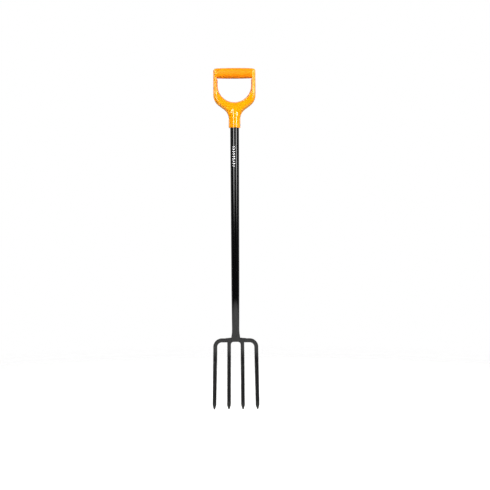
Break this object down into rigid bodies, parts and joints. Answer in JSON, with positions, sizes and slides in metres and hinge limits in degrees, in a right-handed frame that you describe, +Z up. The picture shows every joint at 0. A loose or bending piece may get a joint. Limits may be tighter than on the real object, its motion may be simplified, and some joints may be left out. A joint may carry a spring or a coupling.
{
  "type": "digging fork",
  "caption": "Long-handled digging fork with a D-handle, a cranked steel shaft and straight square tines on a welded crossbar.",
  "frame": {"origin": "centre of the bounding box, on the ground plane through the tips of the tines", "axes": "+Z up the straight shaft from the tips to the grip, +X across the tines, -Y towards the load side"},
  "size_m": [0.1628, 0.055, 1.2],
  "materials": {
    "handle_plastic": "golden orange moulded plastic with a soft gloss",
    "grip_soft": "deeper orange soft overmould, satin",
    "screw_steel": "zinc-plated steel",
    "shaft_enamel": "gloss black coating",
    "print_ink": "white printed ink",
    "head_enamel": "semi-gloss black coating over forged steel",
    "weld_enamel": "semi-gloss black coating over weld beads"
  },
  "bodies": {
    "root": {"handle_frame": "handle_plastic", "grip_sleeve": "grip_soft", "handle_screw": "screw_steel", "shaft_tube": "shaft_enamel", "shaft_print": "print_ink", "centre_tines": "head_enamel", "outer_tine_left": "head_enamel", "outer_tine_right": "head_enamel", "bar_weld_left": "weld_enamel", "bar_weld_right": "weld_enamel", "shaft_weld_beads": "weld_enamel"}
  },
  "joints": []
}
